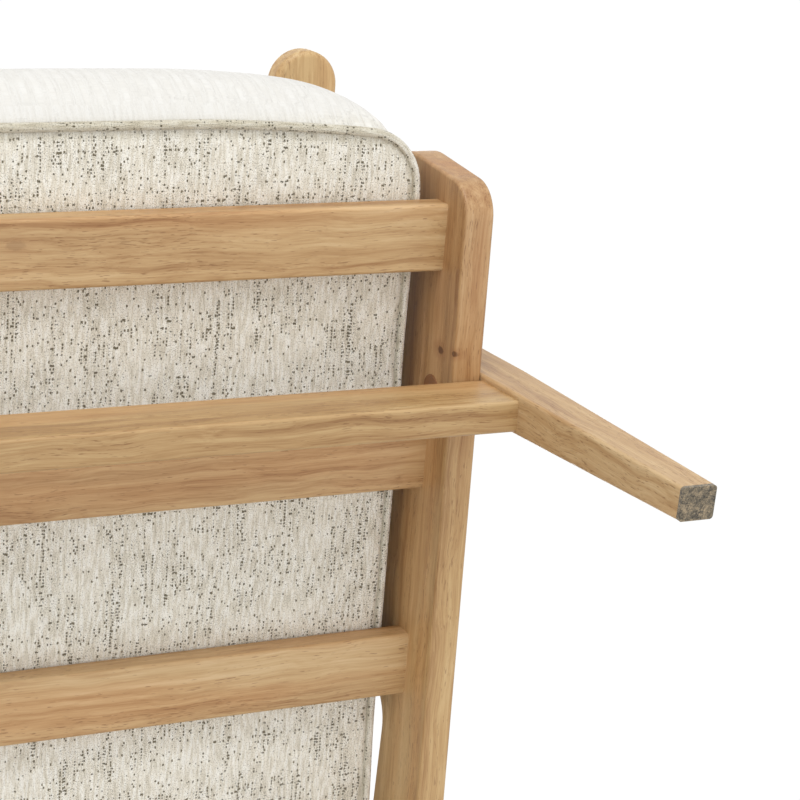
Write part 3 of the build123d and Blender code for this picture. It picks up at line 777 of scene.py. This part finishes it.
# %% The outline of a cushion
def outline(half, low, high, corner, steps=480):
    """Even points round a rounded rectangle, from the middle of the rear, and its length."""
    straight_x, straight_y = 2 * (half - corner), (high - low) - 2 * corner
    quarter = math.pi * corner / 2
    length = 2 * straight_x + 2 * straight_y + 4 * quarter
    centres = (
        (half - corner, high - corner),
        (half - corner, low + corner),
        (-half + corner, low + corner),
        (-half + corner, high - corner),
    )
    made = []
    for step in range(steps):
        gone = length * step / steps
        if gone < straight_x / 2:
            made.append((gone, high))
            continue
        gone -= straight_x / 2
        for side, (x, y) in enumerate(centres):
            if gone < quarter:
                angle = math.pi / 2 - gone / corner - side * math.pi / 2
                made.append((x + corner * math.cos(angle), y + corner * math.sin(angle)))
                break
            gone -= quarter
            run = straight_y if side % 2 == 0 else straight_x
            if gone < run:
                angle = -side * math.pi / 2
                start = (x + corner * math.cos(angle), y + corner * math.sin(angle))
                made.append(
                    (start[0] + gone * math.sin(angle), start[1] - gone * math.cos(angle))
                )
                break
            gone -= run
    return np.array(made), length


seat_outline, seat_round = outline(half=0.2755, low=-0.032, high=0.578, corner=0.038)
seat_outline = bowed_front(full_sides(seat_outline))
back_outline, back_round = outline(half=0.2663, low=0.115, high=0.554, corner=0.046)
print("seams in metres:", round(seat_round, 3), round(back_round, 3))

# %% [markdown]
# ### The weave on the cushions
# On the two panels the cords run along the cushion. On the band they run up and down,
# and the place along the band is measured round the seam, so corners keep the cords' width.
# A face of the band may lie across the place where the round begins, so its corners are
# brought to the side of its first corner. A remesh removes any UV map, so this comes last.

# %% Lay the cloth on a cushion
band_tilt = 0.70


def read(items, name, kind=float, width=1):
    """The values of a mesh's points, faces or corners as an array."""
    values = np.empty(len(items) * width, dtype=kind)
    items.foreach_get(name, values)
    return values.reshape(-1, width) if width > 1 else values


def write_value(mesh, name, values):
    """Writes one number for each point, which a material can read by its name."""
    made = mesh.attributes.new(name, "FLOAT", "POINT")
    made.data.foreach_set("value", values)


def round_the_seam(points, seam, length):
    """How far round the seam each point is, and how far from it."""
    finder = KDTree(len(seam))
    for index, (x, y) in enumerate(seam):
        finder.insert((x, y, 0), index)
    finder.balance()
    gone = np.zeros(len(points))
    from_seam = np.zeros(len(points))
    for index, (x, y, _) in enumerate(points):
        _, nearest, from_seam[index] = finder.find((x, y, 0))
        gone[index] = nearest * length / len(seam)
    return gone, from_seam


def lay_cloth(piece, laid, seam, length):
    """Writes a UV map in metres: panels flat, band round the seam."""
    mesh = piece.data
    points = places_in(piece, laid)
    corner_point = read(mesh.loops, "vertex_index", np.int64)
    totals = read(mesh.polygons, "loop_total", np.int64)
    turn = np.array(laid.inverted())[:3, :3]
    normals = np.abs(read(mesh.polygons, "normal", width=3) @ turn.T)
    band = np.repeat(normals[:, 2] < band_tilt, totals)
    first_corner = np.repeat(np.cumsum(totals) - totals, totals)
    gone, from_seam = round_the_seam(points, seam, length)
    across = gone[corner_point]
    first = across[first_corner]
    across = across + length * ((first - across) > length / 2)
    across = across - length * ((across - first) > length / 2)
    flat = points[corner_point]
    u = np.where(band, across, flat[:, 0])
    v = np.where(band, flat[:, 2], flat[:, 1])
    cloth = mesh.uv_layers.new(name="weave")
    cloth.data.foreach_set("uv", np.column_stack((u, v)).ravel())
    mesh.materials.clear()
    mesh.materials.append(tweed)
    return points, from_seam


seat_points, seat_from_seam = lay_cloth(seat_cover, seat_frame, seat_outline, seat_round)
back_points, back_from_seam = lay_cloth(back_cover, back_frame, back_outline, back_round)
print("points with cloth laid:", len(seat_points) + len(back_points))

# %% [markdown]
# The front band of the seat cushion is nearly white in the picture, so its cloth there gets a
# painted highlight, which fades softly towards both seams and towards the sides.
# Just inside each seam the cloth dips into a groove, which gets painted shade.

# %% Painted highlight on the pale front, painted shade in the grooves
pale_share = 0.80
pale_from = -0.008
pale_over = 0.030
seam_margin = 0.001
seam_fade = 0.004
groove_share = 0.9
groove_from_seam = 0.0060
groove_width = 0.0022
groove_reach = 0.013


def groove(points, from_seam, thickness):
    """1 in the groove along a seam, 0 away from it."""
    to_panel = np.minimum(np.abs(points[:, 2]), np.abs(points[:, 2] - thickness))
    away = (from_seam - groove_from_seam) / groove_width
    return np.exp(-(away**2)) * (to_panel < groove_reach)


# Painted highlight on the front band, softer towards both seams and towards the rear.
in_band = np.minimum(seat_points[:, 2], seat_thickness - seat_points[:, 2])
pale = np.clip((in_band - seam_margin) / seam_fade, 0, 1)
pale = pale * np.clip((pale_from - seat_points[:, 1]) / pale_over, 0, 1)
# Painted shade in the grooves, left out under the painted highlight.
seat_groove = groove(seat_points, seat_from_seam, seat_thickness) * (1 - pale)
back_groove = groove(back_points, back_from_seam, back_thickness)
write_value(seat_cover.data, "painted_highlight", pale_share * pale)
write_value(back_cover.data, "painted_highlight", np.zeros(len(back_points)))
write_value(seat_cover.data, "shade", groove_share * seat_groove)
write_value(back_cover.data, "shade", groove_share * back_groove)
print("pale points:", int((pale > 0).sum()))

# %% [markdown]
# ### Welts
# A welt is a cord wrapped in a strip of the same cloth and sewn into the seam.
# It follows the stuffed form, so each point of the seam is dropped on the cushion's
# surface first, then stands out by half its radius. A curve with a round bevel
# makes the tube, and its conversion to a mesh keeps the way along it as a UV map.
# The side of the tube that looks into the cushion lies in the groove, so it is darkened by painted
# shade.
# So is the front of the lower welt, which is rolled under in the picture.

# %% Sew the welts
welt_radius = 0.0034
welt_proud = 0.0016
low_seam = 0.001
painted_shade_from = 0.45
painted_shade_over = 0.3


def seam_on(cover, laid, seam, height):
    """The seam's points dropped on a cushion and smoothed six times."""
    graph = bpy.context.evaluated_depsgraph_get()
    surface = BVHTree.FromObject(cover, graph)
    line = []
    for x, y in seam:
        spot = laid @ Vector((x, y, height))
        found, normal, _, _ = surface.find_nearest(spot)
        line.append(found + normal * welt_proud)
    line = np.array(line)
    for _ in range(6):
        line = (np.roll(line, 1, axis=0) + 2 * line + np.roll(line, -1, axis=0)) / 4
    return line


def tube(name, line, length):
    """A closed tube along a line, with a UV map in metres."""
    bpy.ops.curve.primitive_nurbs_circle_add()
    piece = bpy.context.object
    piece.name = name
    bpy.ops.object.mode_set(mode="OBJECT")
    piece.data.splines.clear()
    spline = piece.data.splines.new("POLY")
    spline.points.add(len(line) - 1)
    for point, where in zip(spline.points, line):
        point.co = (*where, 1)
    spline.use_cyclic_u = True
    piece.data.dimensions = "3D"
    piece.data.bevel_depth = welt_radius
    piece.data.bevel_resolution = 3
    piece.matrix_world = Matrix.Identity(4)
    chosen(piece)
    bpy.ops.object.convert(target="MESH")
    piece = bpy.context.object
    piece.data.name = name
    bpy.ops.object.shade_smooth()
    cloth = piece.data.uv_layers[0]
    cloth.name = "weave"
    uv = read(cloth.data, "uv", width=2)
    along_welt = uv[:, ::-1] * (2 * math.pi * welt_radius, length)
    cloth.data.foreach_set("uv", along_welt.ravel())
    piece.data.materials.clear()
    piece.data.materials.append(tweed)
    return piece


def welt(name, cover, laid, seam, height, length):
    """A welt along a seam of a cushion, with painted shade where it lies in the groove."""
    line = seam_on(cover, laid, seam, height)
    piece = tube(name, line, length)
    middle = Vector((0, seam[:, 1].mean()))
    points = places_in(piece, laid)
    centres = KDTree(len(line))
    for index, where in enumerate(line):
        centres.insert(laid.inverted() @ Vector(where), index)
    centres.balance()
    painted_shade = np.zeros(len(points))
    for index, point in enumerate(points):
        centre = centres.find(point)[0]
        aside = Vector(point[:2]) - centre.xy
        inward = math.copysign(aside.length, aside.dot(middle - centre.xy))
        painted_shade[index] = min(max((inward / welt_radius - painted_shade_from) / painted_shade_over, 0), 1)
    # Painted shade on the front of the lower welt of the seat cushion.
    if laid == seat_frame and height == low_seam:
        painted_shade = np.maximum(painted_shade, np.clip(-points[:, 1] / pale_over, 0, 1))
    write_value(piece.data, "shade", painted_shade)
    print(name, "has", len(piece.data.polygons), "faces")
    return piece


on_seat = (seat_cover, seat_frame, seat_outline)
on_back = (back_cover, back_frame, back_outline)
welts = {
    "frame": (
        welt("seat_cushion_lower_welt", *on_seat, low_seam, seat_round),
        welt("seat_cushion_upper_welt", *on_seat, seat_thickness, seat_round),
    ),
    "back": (
        welt("back_cushion_rear_welt", *on_back, low_seam, back_round),
        welt("back_cushion_front_welt", *on_back, back_thickness, back_round),
    ),
}

# %% [markdown]
# ### Cushions join the chair
# A cover rides on the body that carries it and stands for its workshop solid,
# which stays hidden and goes on doing the collisions.

# %% Hand the cushions to the chair
for cover, node, body in (
    (seat_cover, "seat_cushion", "frame"),
    (back_cover, "back_cushion", "back"),
):
    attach(cover, body)
    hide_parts(node)
for body, sewn in welts.items():
    for piece in sewn:
        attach(piece, body)
print("welts sewn:", sum(len(sewn) for sewn in welts.values()))

# %% [markdown]
# ## The studio
# The picture has a white ground and broad soft light that falls on the front of the
# chair, so the faces towards the front are bright and the undersides soft.
# The camera looks up from under the floor, so the floor is clear from below,
# and it casts no shadow. From above it is a plain pale floor, which fades out
# into the white ground with the distance from the chair.

# %% Floor and ground
floor_side = 14
floor_drop = 0.0005
fade_starts = 1.6
fade_ends = 6.5

bpy.ops.object.select_all(action="DESELECT")
bpy.ops.mesh.primitive_plane_add(size=floor_side, location=(0, 0, -floor_drop))
floor = bpy.context.object
floor.name = "studio_floor"
floor.visible_shadow = False
floor.visible_diffuse = False
made, tree, shader = finish_of("studio_floor", 0.8)
shader.inputs["Base Color"].default_value = tone(236, 235, 232)
clear = add_node(tree, "BsdfTransparent")
from_below = add_node(tree, "NewGeometry").outputs["Backfacing"]
spot = add_node(tree, "TexCoord").outputs["Object"]
far = add_node(tree, "VectorMath", {0: spot}, operation="LENGTH").outputs["Value"]
away = step_between(tree, far, fade_starts, fade_ends)
unseen = maths(tree, "MAXIMUM", from_below, away)
both = add_node(tree, "MixShader", {0: unseen, 1: shader.outputs[0], 2: clear.outputs[0]})
tree.links.new(both.outputs[0], tree.nodes["Material Output"].inputs["Surface"])
floor.data.materials.append(made)

scene = bpy.context.scene
scene.world = bpy.data.worlds.new("studio")
scene.world.use_nodes = True
sky = scene.world.node_tree
ground = sky.nodes["Background"]
seen = add_node(sky, "LightPath").outputs["Is Camera Ray"]
sky_light = (0.88, 0.88, 0.88, 1)
sky_seen = (1.02, 1.02, 1.02, 1)
sky_colour = mixed(sky, seen, sky_light, sky_seen)
sky.links.new(sky_colour, ground.inputs["Color"])
scene.view_settings.view_transform = "Standard"
print("floor and ground are set")


# %% Soft lights
chair_middle = Vector((0, 0, 0.3))


def soft_light(name, place, width, power):
    """A square lamp that looks at the chair."""
    bpy.ops.object.light_add(type="AREA", location=place)
    lamp = bpy.context.object
    lamp.name = name
    lamp.data.shape = "SQUARE"
    lamp.data.size = width
    lamp.data.energy = power
    aim = chair_middle - Vector(place)
    lamp.rotation_mode = "QUATERNION"
    lamp.rotation_quaternion = aim.to_track_quat("-Z", "Y")


soft_light("front_light", (-0.3, -3.9, -0.7), 2.6, 77)
soft_light("low_fill", (0.0, -0.3, -3.0), 2.2, 16)
soft_light("top_light", (0.8, 0.6, 3.0), 2.4, 40)
